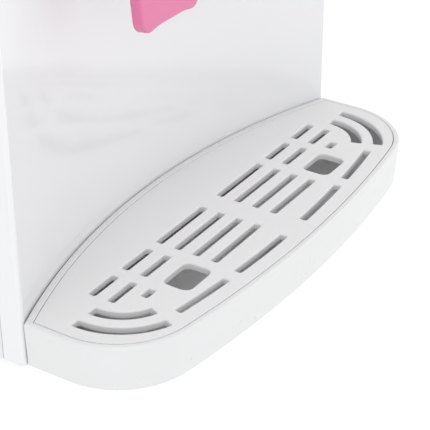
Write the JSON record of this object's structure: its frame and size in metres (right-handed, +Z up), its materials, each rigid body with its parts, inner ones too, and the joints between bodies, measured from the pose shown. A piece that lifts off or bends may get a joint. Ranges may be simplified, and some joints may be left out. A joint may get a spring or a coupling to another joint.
{
  "type": "countertop water dispenser",
  "caption": "White benchtop hot and cold water dispenser with a bowed-in glossy front, pink press taps and a slotted drip tray under them.",
  "frame": {"origin": "on the worktop under the feet, at the centre of the whole object's width and depth", "axes": "+Z up, -Y to the front where the taps and the tray are, +X to the right as seen from the front"},
  "size_m": [0.298, 0.37, 0.41],
  "materials": {
    "shell_white": "moulded ABS, polished gloss",
    "panel_white": "white powder coat, semi-gloss",
    "tray_white": "moulded ABS, semi-gloss",
    "grille_white": "moulded ABS, satin",
    "tap_white": "moulded, gloss",
    "lever_pink": "moulded, gloss pink",
    "pin_steel": "plain stainless",
    "seal_silicone": "soft translucent silicone",
    "base_grey": "moulded, matte",
    "seat_white": "moulded polypropylene, satin",
    "spike_blue": "moulded, satin",
    "foot_rubber": "matte rubber",
    "hose_silicone": "soft translucent silicone",
    "tank_steel": "drawn stainless",
    "foam_white": "expanded foam beads",
    "felt_grey": "needled felt",
    "heater_mica": "mica sheet",
    "sink_aluminium": "extruded, matte",
    "module_ceramic": "white ceramic",
    "fan_black": "moulded, satin black",
    "fitting_black": "moulded, fine grain",
    "rocker_red": "moulded, gloss",
    "rocker_green": "moulded, gloss",
    "screw_steel": "zinc plated",
    "bezel_white": "moulded, satin",
    "lamp_red": "tinted lens",
    "lamp_blue": "tinted lens",
    "board_green": "solder mask"
  },
  "bodies": {
    "root": {"base_pan": "base_grey", "cold_block": "sink_aluminium", "cold_insulation": "foam_white", "cold_lamp": "lamp_blue", "cold_outlet_hose": "hose_silicone", "cold_tank": "tank_steel", "cold_tap_body": "tap_white", "cold_tap_bonnet": "tap_white", "cold_tap_gasket": "seal_silicone", "cold_tap_nut": "base_grey", "cold_tap_spring": "pin_steel", "control_board": "board_green", "drain_hose": "hose_silicone", "drain_spigot": "seat_white", "fan_frame": "fan_black", "front_left_foot": "foot_rubber", "front_right_foot": "foot_rubber", "front_shell": "shell_white", "heat_sink": "sink_aluminium", "heater_band": "heater_mica", "hot_feed_hose": "hose_silicone", "hot_jacket": "felt_grey", "hot_lamp": "lamp_red", "hot_outlet_hose": "hose_silicone", "hot_tank": "tank_steel", "hot_tap_body": "tap_white", "hot_tap_bonnet": "tap_white", "hot_tap_gasket": "seal_silicone", "hot_tap_nut": "base_grey", "hot_tap_spring": "pin_steel", "hot_thermostat": "fitting_black", "indicator_bezel": "bezel_white", "left_rear_screw": "screw_steel", "left_side_panel": "panel_white", "mains_inlet": "fitting_black", "peltier_module": "module_ceramic", "power_board": "board_green", "rear_left_foot": "foot_rubber", "rear_panel": "panel_white", "rear_right_foot": "foot_rubber", "right_rear_screw": "screw_steel", "right_side_panel": "panel_white", "switch_frame": "fitting_black", "top_cover": "shell_white"},
    "tray": {"drip_tray": "tray_white"},
    "grille": {"drip_grille": "grille_white"},
    "bottle_seat": {"bottle_seat": "seat_white", "feed_spike": "spike_blue"},
    "hot_lever": {"hot_tap_lever": "lever_pink", "hot_tap_pin": "pin_steel"},
    "cold_lever": {"cold_tap_lever": "lever_pink", "cold_tap_pin": "pin_steel"},
    "hot_valve": {"hot_tap_stem": "tap_white", "hot_tap_seal": "seal_silicone"},
    "cold_valve": {"cold_tap_stem": "tap_white", "cold_tap_seal": "seal_silicone"},
    "fan_rotor": {"fan_rotor": "fan_black"},
    "hot_rocker": {"hot_rocker": "rocker_red"},
    "cold_rocker": {"cold_rocker": "rocker_green"},
    "drain_cap": {"drain_cap": "fitting_black"}
  },
  "joints": [
    {"name": "tray_slide", "type": "slide", "parent": "root", "child": "tray", "axis": [0, -1, 0], "range_m": [0, 0.06]},
    {"name": "grille_lift", "type": "slide", "parent": "tray", "child": "grille", "axis": [0, 0, 1], "range_m": [0, 0.03]},
    {"name": "bottle_seat_lift", "type": "slide", "parent": "root", "child": "bottle_seat", "axis": [0, 0, 1], "range_m": [0, 0.07]},
    {"name": "hot_lever_press", "type": "hinge", "parent": "root", "child": "hot_lever", "pos_m": [-0.057, -0.108, 0.247], "axis": [1, 0, 0], "range_deg": [0, 10], "stiffness_Nm_per_rad": 0.5, "springref_deg": -6.88},
    {"name": "hot_valve_lift", "type": "slide", "parent": "root", "child": "hot_valve", "axis": [0, 0, 1], "range_m": [0, 0.003], "deforming": ["hot_tap_spring"]},
    {"name": "cold_lever_press", "type": "hinge", "parent": "root", "child": "cold_lever", "pos_m": [0.057, -0.108, 0.247], "axis": [1, 0, 0], "range_deg": [0, 10], "stiffness_Nm_per_rad": 0.5, "springref_deg": -6.88},
    {"name": "cold_valve_lift", "type": "slide", "parent": "root", "child": "cold_valve", "axis": [0, 0, 1], "range_m": [0, 0.003], "deforming": ["cold_tap_spring"]},
    {"name": "fan_spin", "type": "hinge", "parent": "root", "child": "fan_rotor", "pos_m": [0, 0.15, 0.292], "axis": [0, 1, 0], "continuous": true},
    {"name": "hot_switch", "type": "hinge", "parent": "root", "child": "hot_rocker", "pos_m": [0.0815, 0.1715, 0.33], "axis": [1, 0, 0], "range_deg": [0, 14]},
    {"name": "cold_switch", "type": "hinge", "parent": "root", "child": "cold_rocker", "pos_m": [0.1025, 0.1715, 0.33], "axis": [1, 0, 0], "range_deg": [0, 14]},
    {"name": "drain_cap_off", "type": "slide", "parent": "root", "child": "drain_cap", "axis": [0, 1, 0], "range_m": [0, 0.015]}
  ],
  "couplings": [
    {"joint": "hot_valve_lift", "follows": "hot_lever_press", "m_per_rad": 0.0146},
    {"joint": "cold_valve_lift", "follows": "cold_lever_press", "m_per_rad": 0.0146}
  ]
}
